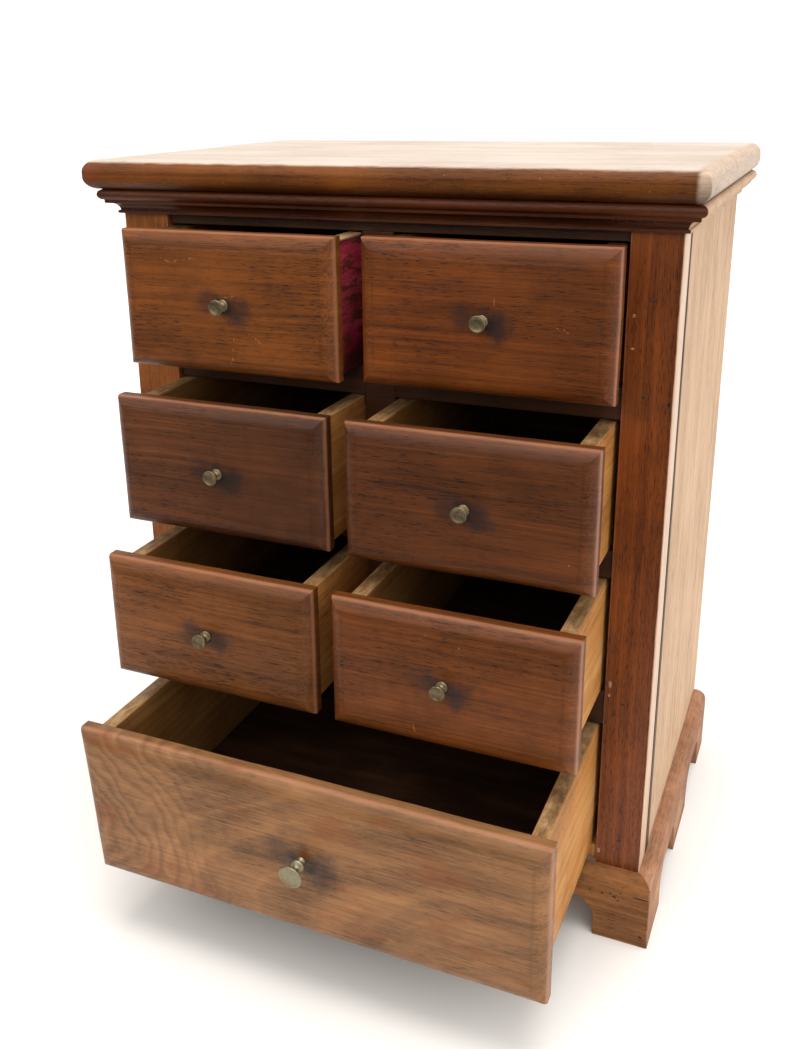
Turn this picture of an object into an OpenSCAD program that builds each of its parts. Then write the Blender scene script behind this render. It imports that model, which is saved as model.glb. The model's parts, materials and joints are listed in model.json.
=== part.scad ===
// Miniature chest of drawers.
// Seven lipped drawers in four rows: three rows of two above one wide, deeper drawer.
// The case stands on mitred plinth boards cut into bracket feet, with a mitred cornice under a
// round-edged top. Millimetres. The floor is z = 0, the front looks along -y, and x = 0, y = 0 is
// the middle of the whole object with the drawers standing as drawn. Inside the modules x is
// measured from the middle of the case and y from the stile faces, and placed() moves them.

/* [Case] */
// Width over the outer faces of the side boards
case_width = 320; // [240:1:400]
// Depth from the stile faces to the back of the case
case_depth = 217; // [160:1:280]
// Height from the floor to the top of the top board
overall_height = 440; // [340:1:540]
// Thickness of the side boards
side_thickness = 9; // [6:0.5:14]
// Thickness of the back panel
back_thickness = 5; // [3:0.5:8]
// Thickness of the bottom board
bottom_thickness = 9; // [6:0.5:12]

/* [Front frame] */
// Width of the left stile
left_stile_width = 29.5; // [20:0.5:38]
// Width of the right stile
right_stile_width = 25.7; // [20:0.1:38]
// Thickness of the stiles
stile_thickness = 18; // [8:0.5:24]
// Width of the post between the left and right drawers
post_width = 18.3; // [12:0.1:24]
// Depth front to back of the post, the rails and the dividers
rail_depth = 15; // [10:0.5:22]
// How far the rails and the post are set back behind the stiles
frame_setback = 3; // [0:0.5:5]
// Height of the rail over the top row
top_rail_height = 19.5; // [16:0.5:28]
// Heights of the dividers under the first, second and third rows
divider_heights = [17, 15.7, 20.8]; // [8:0.1:28]
// Width of the open joint between a stile and its side board
joint_gap = 3; // [0:0.1:4]
// Depth of that open joint
joint_depth = 3.4; // [1:0.1:4]

/* [Rows] */
// Share of the free height given to each row, top row first
row_shares = [0.2475, 0.2458, 0.2316, 0.2751]; // [0.15:0.01:0.4]
// How far each drawer stands open in the rest pose: upper left, upper right, and so on down
drawer_open = [27.4, 20.5, 44, 45, 65.6, 66.4, 105]; // [0:0.1:120]

/* [Drawer boxes] */
// Thickness of the drawer sides
drawer_side_thickness = 8.8; // [5:0.1:12]
// Thickness of the drawer backs
drawer_back_thickness = 7; // [4:0.5:10]
// Thickness of the drawer bottoms
drawer_bottom_thickness = 4; // [2:0.5:6]
// How far a drawer bottom is raised above the lower edge of its sides
drawer_bottom_lift = 2; // [0:0.5:5]
// How far a drawer back is lower than its sides
drawer_back_drop = 3; // [0:0.5:8]
// Clearance between a left drawer and the left stile
left_clearance = 0.8; // [0.4:0.1:4]
// Clearance between a right drawer and the right stile
right_clearance = 2.8; // [0.4:0.1:4]
// Clearance between a drawer and the post
post_clearance = 1.2; // [0.4:0.1:3]
// Clearance over a drawer's sides
top_clearance = 1.1; // [0.4:0.1:3]
// Clearance under a drawer's sides
run_clearance = 0.5; // [0.3:0.1:1]
// Clearance between a closed front and the stile faces
closed_clearance = 0.4; // [0.3:0.1:1]
// Clearance between a closed drawer and the back panel
back_clearance = 4; // [2:0.5:10]

/* [Drawer fronts] */
// Thickness of a front at its outer edge
front_edge = 7; // [5:0.5:10]
// How far the moulding rises from the outer edge towards the field
moulding_rise = 4.4; // [2:0.1:5]
// Width of the moulding round a front
moulding_width = 7.5; // [5:0.1:12]
// Height of the small step from the moulding up to the field
field_step = 0.6; // [0.2:0.1:1.5]
// How far the left drawers' fronts lap past the box on the left and on the right
left_laps = [7.2, 3.1]; // [1:0.1:9]
// How far the right drawers' fronts lap past the box on the left and on the right
right_laps = [6.1, 5.4]; // [1:0.1:9]
// How far the wide drawer's front laps past the box on the left and on the right
wide_laps = [7.1, 4.9]; // [1:0.1:9]
// How far a front laps the frame above its opening
upper_lap = 1.4; // [0.5:0.1:3]
// How far the fronts of the first three rows lap the divider below
lower_laps = [1, 0.6, 3.7]; // [0.5:0.1:6]

/* [Knobs] */
// Diameter of the small knobs
knob_diameter = 8.6; // [6:0.1:14]
// How far the small knobs stand out from the drawer front
knob_length = 8; // [6:0.1:12]
// Diameter of the wide drawer's knob
large_knob_diameter = 13.2; // [10:0.1:20]
// How far the wide drawer's knob stands out
large_knob_length = 13.4; // [10:0.1:20]
// How far each knob sits right of the middle of its front
knob_across = [0, 0, 0, 0, 0, -3, 4.4]; // [-10:0.1:10]
// How far each knob sits above the middle of its front
knob_up = [0, 0, 0, 0, 0, 0, 2.6]; // [-10:0.1:10]
// How far the wide drawer's knob sags, in degrees
knob_sag = 5; // [0:1:12]

/* [Top and cornice] */
// Thickness of the top board
top_thickness = 16.5; // [12:0.5:24]
// How far the top board overhangs the case on the front and both ends
top_overhang = 14.5; // [12:0.5:24]
// How far the top board lies to the left of the middle of the case
top_shift = 2.5; // [0:0.1:4]
// Radius of the top board's rounded edges
edge_radius = 7; // [3:0.5:7.5]
// Height of the cornice
cornice_height = 14; // [10:0.5:18]
// How far the cornice stands out at its top
cornice_projection = 10.8; // [8:0.1:14]

/* [Plinth] */
// Height of the plinth
plinth_height = 44.5; // [34:0.5:54]
// Thickness of the plinth boards
plinth_thickness = 8.6; // [6:0.1:12]
// Radius of the plinth's rounded upper edge
plinth_round = 6.8; // [3:0.1:8]
// Height of the arches between the feet
arch_height = 25; // [16:0.5:30]
// Radius of the upper corners of the arches
arch_radius = 14; // [8:0.5:18]
// Width of each front foot
front_foot = 32.2; // [24:0.1:50]
// Depth of the foot at the front of each side, measured from the stile faces
side_front_foot = 31; // [20:0.5:40]
// Depth of the foot in the middle of each side
side_centre_foot = 49; // [30:0.5:60]
// Depth of the foot at the back of each side
side_rear_foot = 30; // [20:0.5:40]

/* [Hidden] */

$fn = 64;
// Overshoot of a cutter past the face it cuts through
eps = 1;
half = case_width / 2;

// Case heights
carcass_top = overall_height - top_thickness;
// The boards behind the plinth stop this far above its arches
arch_margin = 1.5;
board_bottom = arch_height + arch_margin;
bottom_top = plinth_height + bottom_thickness;
rail_bottom = carcass_top - top_rail_height;

// Openings, top row first: free height shared between the rows
rows = 4;
free_height = rail_bottom - bottom_top - divider_heights[0] - divider_heights[1] - divider_heights[2];
share_sum = row_shares[0] + row_shares[1] + row_shares[2] + row_shares[3];
function row_height(r) = free_height * row_shares[r] / share_sum;
function row_top(r) = r == 0 ? rail_bottom : row_bottom(r - 1) - divider_heights[r - 1];
function row_bottom(r) = row_top(r) - row_height(r);

// Openings left to right
opening_left = -half + left_stile_width;
opening_right = half - right_stile_width;
post_left = -post_width / 2;
post_right = post_width / 2;
inner_half = half - side_thickness;
panel_front = case_depth - back_thickness;
frame_back = frame_setback + rail_depth;
// The outer runners start behind both the frame and the stiles
runner_front = max(frame_back, stile_thickness);

// Runners
runner_height = 7;
runner_reach = drawer_side_thickness;
guide_height = 6;
// The partition behind the post is thinner than it by this much on each side
partition_step = 3;
partition_thickness = post_width - 2 * partition_step;

// Drawers 1 to 6 sit in pairs, left then right; drawer 7 is the wide one
wide = 6;
function row_of(d) = d == wide ? rows - 1 : floor(d / 2);
function is_left(d) = d != wide && d % 2 == 0;
function is_right(d) = d != wide && d % 2 == 1;
function box_left(d) = is_right(d) ? post_right + post_clearance : opening_left + left_clearance;
function box_right(d) = is_left(d) ? post_left - post_clearance : opening_right - right_clearance;
function box_bottom(d) = row_bottom(row_of(d)) + run_clearance;
function box_top(d) = row_top(row_of(d)) - top_clearance;
function laps(d) = d == wide ? wide_laps : is_left(d) ? left_laps : right_laps;
function face_left(d) = box_left(d) - laps(d)[0];
function face_right(d) = box_right(d) + laps(d)[1];
function face_top(d) = row_top(row_of(d)) + upper_lap;
// The wide drawer's front stops just above the plinth
function face_bottom(d) = d == wide ? plinth_height + run_clearance
  : row_bottom(row_of(d)) - lower_laps[row_of(d)];
// Back plane of each front
function front_back(d) = -closed_clearance - drawer_open[d];
box_length = panel_front - back_clearance + closed_clearance;
front_thickness = front_edge + moulding_rise + field_step;
// Radius of the arc that rises by moulding_rise over moulding_width and ends level with the field
moulding_radius = (moulding_width * moulding_width + moulding_rise * moulding_rise)
  / (2 * moulding_rise);

// Knob seats: blind holes that leave this much wood behind them
shank_floor = 3;
shank_diameter = 2.6;
shank_length = front_thickness - shank_floor;
function knob_x(d) = (face_left(d) + face_right(d)) / 2 + knob_across[d];
function knob_z(d) = (face_top(d) + face_bottom(d)) / 2 + knob_up[d];

// The whole depth runs from the furthest knob to the back of the case
front_reach = max([for (d = [0 : wide]) drawer_open[d] + closed_clearance + front_thickness
  + (d == wide ? large_knob_length : knob_length)]);
origin_shift = (case_depth - front_reach) / 2;
// The whole width runs between the furthest of the top board, the cornice and the plinth
left_reach = max(top_overhang + top_shift, cornice_projection, plinth_thickness);
right_reach = max(top_overhang - top_shift, cornice_projection, plinth_thickness);
side_shift = (left_reach - right_reach) / 2;

walnut = [0.42, 0.23, 0.13];
faded = [0.66, 0.52, 0.42];
pine = [0.72, 0.55, 0.36];
brass = [0.55, 0.5, 0.38];

// Moves a piece from the middle of the stile faces to the middle of the whole object
module placed() {
  translate([side_shift, -origin_shift, 0]) children();
}

// A block given by its two corners
module block(x, y, z) {
  translate([x[0], y[0], z[0]])
    cube([x[1] - x[0], y[1] - y[0], z[1] - z[0]]);
}

// Top board with rounded front and ends, flat at the back
module top_board() {
  width = case_width + 2 * top_overhang;
  depth = case_depth + top_overhang;
  flat = top_thickness - 2 * edge_radius;
  placed() color(faded)
    translate([-top_shift, case_depth, carcass_top])
    intersection() {
      // section across the board, run front to back
      translate([0, eps, 0]) rotate([90, 0, 0]) linear_extrude(depth + 2 * eps) union() {
        translate([-width / 2 + edge_radius, 0])
          square([width - 2 * edge_radius, top_thickness]);
        translate([-width / 2, edge_radius]) square([width, flat]);
        for (side = [-1, 1], level = [edge_radius, top_thickness - edge_radius])
          translate([side * (width / 2 - edge_radius), level]) circle(edge_radius);
      }
      // section along the board, run left to right
      translate([-width / 2 - eps, 0, 0]) rotate([90, 0, 90]) linear_extrude(width + 2 * eps)
        union() {
          translate([-depth + edge_radius, 0]) square([depth - edge_radius, top_thickness]);
          translate([-depth, edge_radius]) square([edge_radius + eps, flat]);
          for (level = [edge_radius, top_thickness - edge_radius])
            translate([-depth + edge_radius, level]) circle(edge_radius);
        }
    }
}

// Cornice section: x stands out from the case, y goes down from the underside of the top.
// A rounded band, a fillet, a cove and a bottom fillet, each a share of the height.
module cornice_section() {
  band = cornice_height * 3 / 7;
  fillet = cornice_height / 7;
  fillet_out = cornice_projection - band / 2;
  cove_step = fillet * 0.8;
  cove_out = fillet_out - cove_step;
  cove_land = 1;
  cove_height = min(cornice_height * 2.4 / 7, cove_out - cove_land);
  cove_in = cove_out - cove_height;
  foot_fillet = cornice_height - band - fillet - cove_height;
  translate([0, -band]) square([cornice_projection - band / 2, band]);
  translate([cornice_projection - band / 2, -band / 2]) circle(band / 2);
  translate([0, -band - fillet]) square([fillet_out, fillet + eps]);
  difference() {
    translate([0, -cornice_height + foot_fillet]) square([cove_out, cove_height + eps]);
    translate([cove_out, -cornice_height + foot_fillet]) circle(cove_height);
  }
  translate([0, -cornice_height]) square([cove_in + cove_height / 4, foot_fillet + eps / 2]);
}

// Everything on one side of the 45 degree mitre that starts at the front corner of the case
module mitre_wedge(side, front) {
  reach = 2 * case_width;
  translate([side * half, 0, -eps])
    linear_extrude(overall_height + 2 * eps)
    polygon(front ? [[0, 0], [side * reach, -reach], [-side * reach, -reach], [-side * reach, 0]]
      : [[0, 0], [side * reach, -reach], [side * reach, reach], [0, reach]]);
}

module cornice_front() {
  placed() color(walnut)
    intersection() {
      translate([-case_width, 0, carcass_top]) rotate([90, 0, 90])
        linear_extrude(2 * case_width) mirror([1, 0]) cornice_section();
      mitre_wedge(-1, true);
      mitre_wedge(1, true);
    }
}

module cornice_side(side) {
  placed() color(side > 0 ? faded : walnut)
    intersection() {
      translate([side * half, case_depth, carcass_top]) rotate([90, 0, 0])
        linear_extrude(2 * case_depth) mirror([side > 0 ? 0 : 1, 0]) cornice_section();
      mitre_wedge(side, false);
    }
}

module cornice_left() { cornice_side(-1); }
module cornice_right() { cornice_side(1); }

// Front stiles, from behind the plinth to the underside of the top
module stile_left() {
  placed() color(walnut)
    block([-half, opening_left], [0, stile_thickness], [board_bottom, carcass_top]);
}

module stile_right() {
  placed() color(walnut)
    block([opening_right, half], [0, stile_thickness], [board_bottom, carcass_top]);
}

// Side boards, with a narrow open joint behind each stile
module side_board(side) {
  placed() color(side > 0 ? faded : walnut)
    difference() {
      block([side > 0 ? inner_half : -half, side > 0 ? half : -inner_half],
        [stile_thickness, case_depth], [board_bottom, carcass_top]);
      block([side > 0 ? half - joint_depth : -half - eps, side > 0 ? half + eps : -half + joint_depth],
        [stile_thickness - eps, stile_thickness + joint_gap],
        [board_bottom - eps, carcass_top + eps]);
    }
}

module side_left() { side_board(-1); }
module side_right() { side_board(1); }

module back_panel() {
  placed() color(pine)
    block([-inner_half, inner_half], [panel_front, case_depth], [plinth_height, carcass_top]);
}

module bottom_board() {
  placed() color(pine)
    union() {
      block([opening_left, opening_right], [frame_setback, stile_thickness + eps],
        [plinth_height, bottom_top]);
      block([-inner_half, inner_half], [stile_thickness, panel_front],
        [plinth_height, bottom_top]);
    }
}

module top_rail() {
  placed() color(walnut)
    block([opening_left, opening_right], [frame_setback, frame_back], [rail_bottom, carcass_top]);
}

// One post stands from the lowest divider to the top rail
module centre_post() {
  placed() color(walnut)
    block([post_left, post_right], [frame_setback, frame_back], [row_bottom(2), rail_bottom]);
}

// Two half dividers butt against the post under rows one and two; the third runs across
module drawer_dividers() {
  placed() color(walnut) {
    for (r = [0, 1], span = [[opening_left, post_left], [post_right, opening_right]])
      block(span, [frame_setback, frame_back], [row_top(r + 1), row_bottom(r)]);
    block([opening_left, opening_right], [frame_setback, frame_back], [row_top(3), row_bottom(2)]);
  }
}

// Upright board behind the post that carries the inner runners
module centre_partition() {
  placed() color(pine)
    block([-partition_thickness / 2, partition_thickness / 2], [frame_back, panel_front],
      [row_top(3), carcass_top]);
}

// Two runners for each of the upper drawers: outer ones with a guide strip, inner ones plain
module drawer_runners() {
  placed() color(pine)
    for (r = [0, 1, 2]) {
      low = row_bottom(r) - runner_height;
      for (d = [2 * r, 2 * r + 1]) {
        outer = is_left(d) ? [-inner_half, box_left(d) + runner_reach]
          : [box_right(d) - runner_reach, inner_half];
        guide = is_left(d) ? [-inner_half, opening_left] : [opening_right, inner_half];
        inner = is_left(d) ? [box_right(d) - runner_reach, -partition_thickness / 2]
          : [partition_thickness / 2, box_left(d) + runner_reach];
        union() {
          block(outer, [runner_front, panel_front], [low, row_bottom(r)]);
          block(guide, [runner_front, panel_front], [low, row_bottom(r) + guide_height]);
        }
        block(inner, [frame_back, panel_front], [low, row_bottom(r)]);
      }
    }
}

// Plinth board section: x stands out from the case, y is height
module plinth_section() {
  union() {
    square([plinth_thickness, plinth_height - plinth_round]);
    square([plinth_thickness - plinth_round, plinth_height]);
    translate([plinth_thickness - plinth_round, plinth_height - plinth_round])
      circle(plinth_round);
  }
}

// Opening between two feet, from a to b along x, cut through the depth of y
module arch(a, b, y) {
  translate([0, y[1], 0]) rotate([90, 0, 0]) linear_extrude(y[1] - y[0]) union() {
    translate([a, -eps]) square([b - a, arch_height - arch_radius + eps]);
    translate([a + arch_radius, -eps]) square([b - a - 2 * arch_radius, arch_height + eps]);
    for (x = [a + arch_radius, b - arch_radius])
      translate([x, arch_height - arch_radius]) circle(arch_radius);
  }
}

module plinth_front() {
  foot_inner = half + plinth_thickness - front_foot;
  placed() color(walnut)
    difference() {
      intersection() {
        translate([-case_width, 0, 0]) rotate([90, 0, 90])
          linear_extrude(2 * case_width) mirror([1, 0]) intersection() {
            plinth_section();
            square([plinth_thickness, plinth_height]);
          }
        mitre_wedge(-1, true);
        mitre_wedge(1, true);
      }
      arch(-foot_inner, foot_inner, [-plinth_thickness - eps, eps]);
    }
}

module plinth_side(side) {
  arch_length = (case_depth - side_front_foot - side_centre_foot - side_rear_foot) / 2;
  placed() color(side > 0 ? faded : walnut)
    difference() {
      intersection() {
        translate([side * half, case_depth, 0]) rotate([90, 0, 0])
          linear_extrude(2 * case_depth) mirror([side > 0 ? 0 : 1, 0]) intersection() {
            plinth_section();
            square([plinth_thickness, plinth_height]);
          }
        mitre_wedge(side, false);
      }
      for (start = [side_front_foot, side_front_foot + arch_length + side_centre_foot])
        translate([side * half, 0, 0]) rotate([0, 0, 90])
          arch(start, start + arch_length, [-plinth_thickness - eps, plinth_thickness + eps]);
    }
}

module plinth_left() { plinth_side(-1); }
module plinth_right() { plinth_side(1); }

// Section of a moulded front: x runs across the face, y runs forward from the back of the front
module front_section(length) {
  step_out = front_edge + moulding_rise;
  intersection() {
    square([length, front_thickness]);
    union() {
      square([length, front_edge]);
      translate([moulding_width, 0]) square([length - 2 * moulding_width, front_thickness]);
      for (x = [moulding_width, length - moulding_width])
        translate([x, step_out - moulding_radius]) circle(moulding_radius);
    }
  }
}

// Front with mitred mouldings: two sections crossed, and a blind hole for the knob
module drawer_front(d) {
  width = face_right(d) - face_left(d);
  height = face_top(d) - face_bottom(d);
  placed() color(walnut)
    translate([face_left(d), front_back(d), face_bottom(d)])
    difference() {
      intersection() {
        translate([0, 0, -eps]) linear_extrude(height + 2 * eps) mirror([0, 1])
          front_section(width);
        translate([-eps, 0, 0]) rotate([90, 0, 90]) linear_extrude(width + 2 * eps)
          rotate(90) front_section(height);
      }
      translate([knob_x(d) - face_left(d), -front_thickness - eps, knob_z(d) - face_bottom(d)])
        rotate([-90, 0, 0]) cylinder(h = shank_length + eps, d = shank_diameter);
    }
}

module drawer_side(d, side) {
  x = side < 0 ? [box_left(d), box_left(d) + drawer_side_thickness]
    : [box_right(d) - drawer_side_thickness, box_right(d)];
  placed() color(pine)
    block(x, [front_back(d), front_back(d) + box_length], [box_bottom(d), box_top(d)]);
}

// Inside faces of a drawer, left to right
function inside_x(d) = [box_left(d) + drawer_side_thickness, box_right(d) - drawer_side_thickness];
function floor_top(d) = box_bottom(d) + drawer_bottom_lift + drawer_bottom_thickness;

module drawer_back(d) {
  rear = front_back(d) + box_length;
  placed() color(pine)
    block(inside_x(d), [rear - drawer_back_thickness, rear],
      [floor_top(d), box_top(d) - drawer_back_drop]);
}

module drawer_bottom(d) {
  placed() color(pine)
    block(inside_x(d), [front_back(d), front_back(d) + box_length],
      [floor_top(d) - drawer_bottom_thickness, floor_top(d)]);
}

// Turned knob, revolved about +z: shank, collar, neck with a bead, and a dished disc
module knob(diameter, length, sag) {
  collar = diameter * 0.36;
  collar_top = collar * 0.75;
  collar_length = length * 0.14;
  neck_start = collar_length * 0.6;
  neck = diameter * 0.15;
  bead = diameter * 0.21;
  bead_at = length * 0.5;
  rim = length * 0.13;
  flare = length * 0.26;
  flare_top = diameter * 0.46;
  dish = diameter * 1.1;
  dish_edge = diameter * 0.4;
  dish_depth = rim * 0.6;
  translate([0, 0, -shank_length]) cylinder(h = shank_length + collar_length, d = shank_diameter);
  cylinder(h = collar_length, r1 = collar, r2 = collar_top);
  translate([0, 0, collar_length]) rotate([sag, 0, 0]) translate([0, 0, -collar_length])
    difference() {
      union() {
        translate([0, 0, neck_start]) cylinder(h = length - flare - rim - neck_start, r = neck);
        translate([0, 0, bead_at]) rotate_extrude() intersection() {
          translate([neck * 0.5, 0]) circle(bead - neck * 0.5);
          translate([0, -bead]) square([2 * bead, 2 * bead]);
        }
        translate([0, 0, length - flare - rim]) cylinder(h = flare, r1 = neck, r2 = flare_top);
        translate([0, 0, length - rim]) cylinder(h = rim, d = diameter);
      }
      translate([0, 0, length - dish_depth + sqrt(dish * dish - dish_edge * dish_edge)])
        sphere(r = dish);
    }
}

module drawer_knob(d) {
  placed() color(brass)
    translate([knob_x(d), front_back(d) - front_thickness, knob_z(d)]) rotate([90, 0, 0])
    knob(d == wide ? large_knob_diameter : knob_diameter, d == wide ? large_knob_length : knob_length,
      d == wide ? knob_sag : 0);
}

module drawer_1_front() { drawer_front(0); }
module drawer_1_side_left() { drawer_side(0, -1); }
module drawer_1_side_right() { drawer_side(0, 1); }
module drawer_1_back() { drawer_back(0); }
module drawer_1_bottom() { drawer_bottom(0); }
module drawer_1_knob() { drawer_knob(0); }
module drawer_2_front() { drawer_front(1); }
module drawer_2_side_left() { drawer_side(1, -1); }
module drawer_2_side_right() { drawer_side(1, 1); }
module drawer_2_back() { drawer_back(1); }
module drawer_2_bottom() { drawer_bottom(1); }
module drawer_2_knob() { drawer_knob(1); }
module drawer_3_front() { drawer_front(2); }
module drawer_3_side_left() { drawer_side(2, -1); }
module drawer_3_side_right() { drawer_side(2, 1); }
module drawer_3_back() { drawer_back(2); }
module drawer_3_bottom() { drawer_bottom(2); }
module drawer_3_knob() { drawer_knob(2); }
module drawer_4_front() { drawer_front(3); }
module drawer_4_side_left() { drawer_side(3, -1); }
module drawer_4_side_right() { drawer_side(3, 1); }
module drawer_4_back() { drawer_back(3); }
module drawer_4_bottom() { drawer_bottom(3); }
module drawer_4_knob() { drawer_knob(3); }
module drawer_5_front() { drawer_front(4); }
module drawer_5_side_left() { drawer_side(4, -1); }
module drawer_5_side_right() { drawer_side(4, 1); }
module drawer_5_back() { drawer_back(4); }
module drawer_5_bottom() { drawer_bottom(4); }
module drawer_5_knob() { drawer_knob(4); }
module drawer_6_front() { drawer_front(5); }
module drawer_6_side_left() { drawer_side(5, -1); }
module drawer_6_side_right() { drawer_side(5, 1); }
module drawer_6_back() { drawer_back(5); }
module drawer_6_bottom() { drawer_bottom(5); }
module drawer_6_knob() { drawer_knob(5); }
module drawer_7_front() { drawer_front(6); }
module drawer_7_side_left() { drawer_side(6, -1); }
module drawer_7_side_right() { drawer_side(6, 1); }
module drawer_7_back() { drawer_back(6); }
module drawer_7_bottom() { drawer_bottom(6); }
module drawer_7_knob() { drawer_knob(6); }

top_board();
cornice_front();
cornice_left();
cornice_right();
stile_left();
stile_right();
side_left();
side_right();
back_panel();
bottom_board();
top_rail();
centre_post();
drawer_dividers();
centre_partition();
drawer_runners();
plinth_front();
plinth_left();
plinth_right();
drawer_1_front();
drawer_1_side_left();
drawer_1_side_right();
drawer_1_back();
drawer_1_bottom();
drawer_1_knob();
drawer_2_front();
drawer_2_side_left();
drawer_2_side_right();
drawer_2_back();
drawer_2_bottom();
drawer_2_knob();
drawer_3_front();
drawer_3_side_left();
drawer_3_side_right();
drawer_3_back();
drawer_3_bottom();
drawer_3_knob();
drawer_4_front();
drawer_4_side_left();
drawer_4_side_right();
drawer_4_back();
drawer_4_bottom();
drawer_4_knob();
drawer_5_front();
drawer_5_side_left();
drawer_5_side_right();
drawer_5_back();
drawer_5_bottom();
drawer_5_knob();
drawer_6_front();
drawer_6_side_left();
drawer_6_side_right();
drawer_6_back();
drawer_6_bottom();
drawer_6_knob();
drawer_7_front();
drawer_7_side_left();
drawer_7_side_right();
drawer_7_back();
drawer_7_bottom();
drawer_7_knob();
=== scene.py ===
"""Looks of the miniature chest of drawers, built round the CAD frame.

Metres, with the floor at z = 0 and the front towards -y."""

import json
import math

import bmesh
import bpy
from mathutils import Matrix, Vector, noise

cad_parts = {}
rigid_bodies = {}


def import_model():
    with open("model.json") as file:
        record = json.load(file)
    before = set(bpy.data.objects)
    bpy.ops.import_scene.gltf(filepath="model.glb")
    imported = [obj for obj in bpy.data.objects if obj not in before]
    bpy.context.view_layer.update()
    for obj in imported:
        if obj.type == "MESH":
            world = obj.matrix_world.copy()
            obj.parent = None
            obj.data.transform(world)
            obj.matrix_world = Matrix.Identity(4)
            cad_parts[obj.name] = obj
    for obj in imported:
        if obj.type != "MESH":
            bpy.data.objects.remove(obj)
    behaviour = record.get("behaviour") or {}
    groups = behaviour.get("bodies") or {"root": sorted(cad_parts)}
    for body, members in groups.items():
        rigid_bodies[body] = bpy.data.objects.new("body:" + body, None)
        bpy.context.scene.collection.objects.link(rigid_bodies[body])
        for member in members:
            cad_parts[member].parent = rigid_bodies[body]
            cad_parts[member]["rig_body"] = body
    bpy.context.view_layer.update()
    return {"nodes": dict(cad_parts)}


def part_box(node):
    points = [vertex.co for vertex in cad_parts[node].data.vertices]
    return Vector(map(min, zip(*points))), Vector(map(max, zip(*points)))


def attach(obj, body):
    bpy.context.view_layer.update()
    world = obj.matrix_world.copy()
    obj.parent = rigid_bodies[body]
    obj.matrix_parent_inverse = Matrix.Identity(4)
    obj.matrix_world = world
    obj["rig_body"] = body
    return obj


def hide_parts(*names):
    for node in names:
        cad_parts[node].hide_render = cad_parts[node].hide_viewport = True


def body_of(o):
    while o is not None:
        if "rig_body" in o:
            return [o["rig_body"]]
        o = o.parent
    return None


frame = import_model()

MM = 0.001
PER_METRE = 1000.0  # millimetres
SCENE = bpy.context.scene
FACE_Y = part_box("stile_left")[0].y  # plane of the stile faces
CASE_X = (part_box("stile_left")[0].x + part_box("stile_right")[1].x) / 2  # middle of the case
WIDE = 7  # number of the wide drawer at the bottom

# ---------------------------------------------------------------- camera, floor and light

FRAME_LONG = 1049  # longer side of the picture, which the sensor spans
FOCAL_PIXELS = 1079.2
CAMERA_FROM_FACE = Vector((0.2342, -0.5278, 0.4765))  # from the floor below the middle of the face
CAMERA_YAW, CAMERA_PITCH, CAMERA_ROLL = 23.83, 18.3, -0.88  # degrees to the left, down and round
CAMERA_SHIFT = (0.0182, -0.0760)
CLIP_NEAR, CLIP_FAR = 0.02, 60.0
SENSOR = 36.0  # millimetres


def camera():
    """The viewpoint, placed from the middle of the case's face."""
    data = bpy.data.cameras.new("camera")
    data.sensor_fit = "AUTO"
    data.sensor_width = SENSOR
    data.lens = FOCAL_PIXELS / FRAME_LONG * SENSOR
    data.shift_x, data.shift_y = CAMERA_SHIFT
    data.clip_start, data.clip_end = CLIP_NEAR, CLIP_FAR
    obj = bpy.data.objects.new("camera", data)
    SCENE.collection.objects.link(obj)
    yaw, pitch, roll = (math.radians(a) for a in (CAMERA_YAW, CAMERA_PITCH, CAMERA_ROLL))
    fwd = Vector((-math.sin(yaw) * math.cos(pitch), math.cos(yaw) * math.cos(pitch), -math.sin(pitch)))
    right = Vector((math.cos(yaw), math.sin(yaw), 0.0))
    up = right.cross(fwd)
    turned_right = math.cos(roll) * right + math.sin(roll) * up
    turned_up = -math.sin(roll) * right + math.cos(roll) * up
    turn = Matrix((turned_right, turned_up, -fwd)).transposed()
    obj.matrix_world = Matrix.Translation(CAMERA_FROM_FACE + Vector((CASE_X, FACE_Y, 0))) @ turn.to_4x4()
    SCENE.camera = obj


def sun(name, direction, strength, angle, colour):
    """A soft light that shines along direction; angle is its size in degrees."""
    data = bpy.data.lights.new(name, "SUN")
    data.energy, data.color, data.angle = strength, colour, math.radians(angle)
    obj = bpy.data.objects.new(name, data)
    obj.rotation_mode = "QUATERNION"
    obj.rotation_quaternion = Vector(direction).to_track_quat("-Z", "Y")
    SCENE.collection.objects.link(obj)


# How bright the surroundings are towards each side, for lighting and reflections
GLOW_ALL, GLOW_UP, GLOW_BACK, GLOW_RIGHT, GLOW_LEFT = 0.03, 0.5, 0.75, 0.85, 0.2
GLOW_COLOUR = (1.0, 0.995, 0.985)
PAPER_WHITE = (1.0, 1.0, 1.0)  # the backdrop as the camera sees it
# Name, direction, strength, angular size in degrees and colour of each soft light
SUNS = (
    ("key", (-0.08, 0.10, -1.0), 1.8, 30, (1.0, 0.98, 0.95)),
    ("front", (0.25, 1.0, -0.95), 1.85, 80, (1.0, 0.98, 0.95)),
    ("side", (-0.9, 0.25, -0.6), 0.8, 70, (1.0, 0.985, 0.96)),
)


def new_node(tree, kind, **settings):
    n = tree.nodes.new(kind)
    for key, value in settings.items():
        setattr(n, key, value)
    return n


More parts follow.
